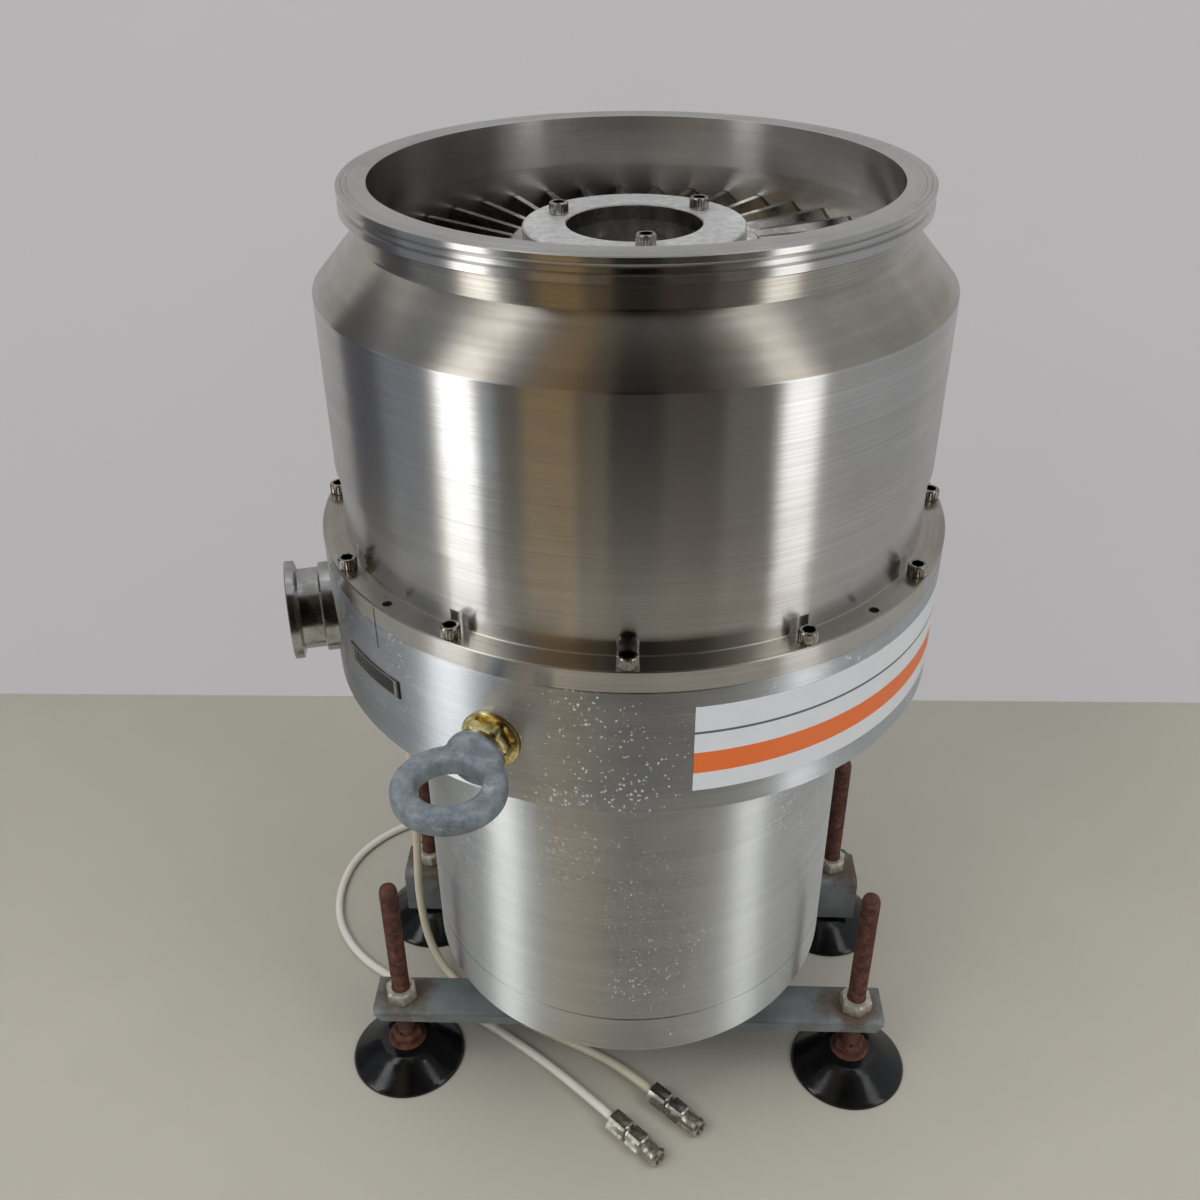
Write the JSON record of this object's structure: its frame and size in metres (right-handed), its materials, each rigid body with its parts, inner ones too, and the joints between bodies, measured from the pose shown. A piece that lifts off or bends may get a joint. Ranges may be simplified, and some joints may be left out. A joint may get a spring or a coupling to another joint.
{
  "type": "turbomolecular pump",
  "caption": "Turbomolecular vacuum pump with a clamp-flange inlet, bladed rotor on magnetic bearings, side exhaust port and a levelling stand.",
  "frame": {"origin": "centre of the inlet flange's sealing face", "axes": "+Z along the rotor axis, out of the inlet; +X along the stand's bars"},
  "size_m": [0.4278, 0.4051, 0.587],
  "materials": {
    "stainless_turned": "turned, satin",
    "aluminium_turned": "turned, satin",
    "aluminium_milled": "milled",
    "steel_fastener": "passivated",
    "lamination_steel": "laminated",
    "shaft_steel": "ground",
    "seal_rubber": "moulded",
    "hose_plastic": "translucent",
    "hose_aged": "translucent, aged",
    "fitting_steel": "turned",
    "galvanised_steel": "galvanised",
    "yellow_zinc": "yellow chromate",
    "label_film": "film",
    "black_plate": "anodised",
    "socket_shell": "plated",
    "bar_paint": "hammer grey",
    "zinc_nut": "zinc plated",
    "rusted_steel": "rusted",
    "pad_plastic": "moulded"
  },
  "bodies": {
    "pump": {"inlet_body": "stainless_turned", "body_screws": "steel_fastener", "body_seal": "seal_rubber", "base_housing": "aluminium_turned", "exhaust_port": "stainless_turned", "motor_housing": "aluminium_turned", "barrel_seal": "seal_rubber", "closure_ring": "aluminium_turned", "bottom_cover": "aluminium_turned", "base_screws": "steel_fastener", "radial_magnet_stators": "lamination_steel", "motor_stator": "lamination_steel", "bearing_column": "aluminium_milled", "axial_housing": "aluminium_milled", "axial_magnets": "lamination_steel", "touchdown_bearings": "shaft_steel", "radial_sensors": "lamination_steel", "top_spacer_ring": "aluminium_milled", "spacer_rings": "aluminium_milled", "bottom_spacer_ring": "aluminium_milled", "lifting_eye": "galvanised_steel", "eye_washers": "yellow_zinc", "label_plate": "label_film", "rating_plate": "black_plate", "power_socket": "socket_shell", "cooling_fittings": "fitting_steel", "hose_a": "hose_plastic", "hose_b": "hose_aged", "hose_a_fitting": "fitting_steel", "hose_b_fitting": "fitting_steel", "front_bar": "bar_paint", "rear_bar": "bar_paint", "bar_bolts": "zinc_nut", "jam_nuts": "zinc_nut", "stator_disc_1": "aluminium_milled", "stator_disc_2": "aluminium_milled", "stator_disc_3": "aluminium_milled", "stator_disc_4": "aluminium_milled"},
    "rotor": {"rotor": "aluminium_milled", "hub_ring": "aluminium_turned", "hub_ring_screws": "steel_fastener", "rotor_bolts": "steel_fastener", "rotor_shaft": "shaft_steel", "radial_magnet_rotors": "lamination_steel", "motor_rotor": "lamination_steel", "thrust_disc": "shaft_steel", "thrust_nut": "steel_fastener"},
    "foot_1": {"foot_rod_1": "rusted_steel", "foot_washer_1": "zinc_nut", "foot_pad_1": "pad_plastic"},
    "foot_2": {"foot_rod_2": "rusted_steel", "foot_washer_2": "zinc_nut", "foot_pad_2": "pad_plastic"},
    "foot_3": {"foot_rod_3": "rusted_steel", "foot_washer_3": "zinc_nut", "foot_pad_3": "pad_plastic"},
    "foot_4": {"foot_rod_4": "rusted_steel", "foot_washer_4": "zinc_nut", "foot_pad_4": "pad_plastic"}
  },
  "joints": [
    {"name": "rotor_spin", "type": "hinge", "parent": "pump", "child": "rotor", "pos_m": [0, 0, -0.1], "axis": [0, 0, 1], "continuous": true},
    {"name": "foot_1_height", "type": "slide", "parent": "pump", "child": "foot_1", "axis": [0, 0, -1], "range_m": [-0.002, 0.085]},
    {"name": "foot_2_height", "type": "slide", "parent": "pump", "child": "foot_2", "axis": [0, 0, -1], "range_m": [-0.002, 0.085]},
    {"name": "foot_3_height", "type": "slide", "parent": "pump", "child": "foot_3", "axis": [0, 0, -1], "range_m": [-0.002, 0.085]},
    {"name": "foot_4_height", "type": "slide", "parent": "pump", "child": "foot_4", "axis": [0, 0, -1], "range_m": [-0.002, 0.085]}
  ]
}
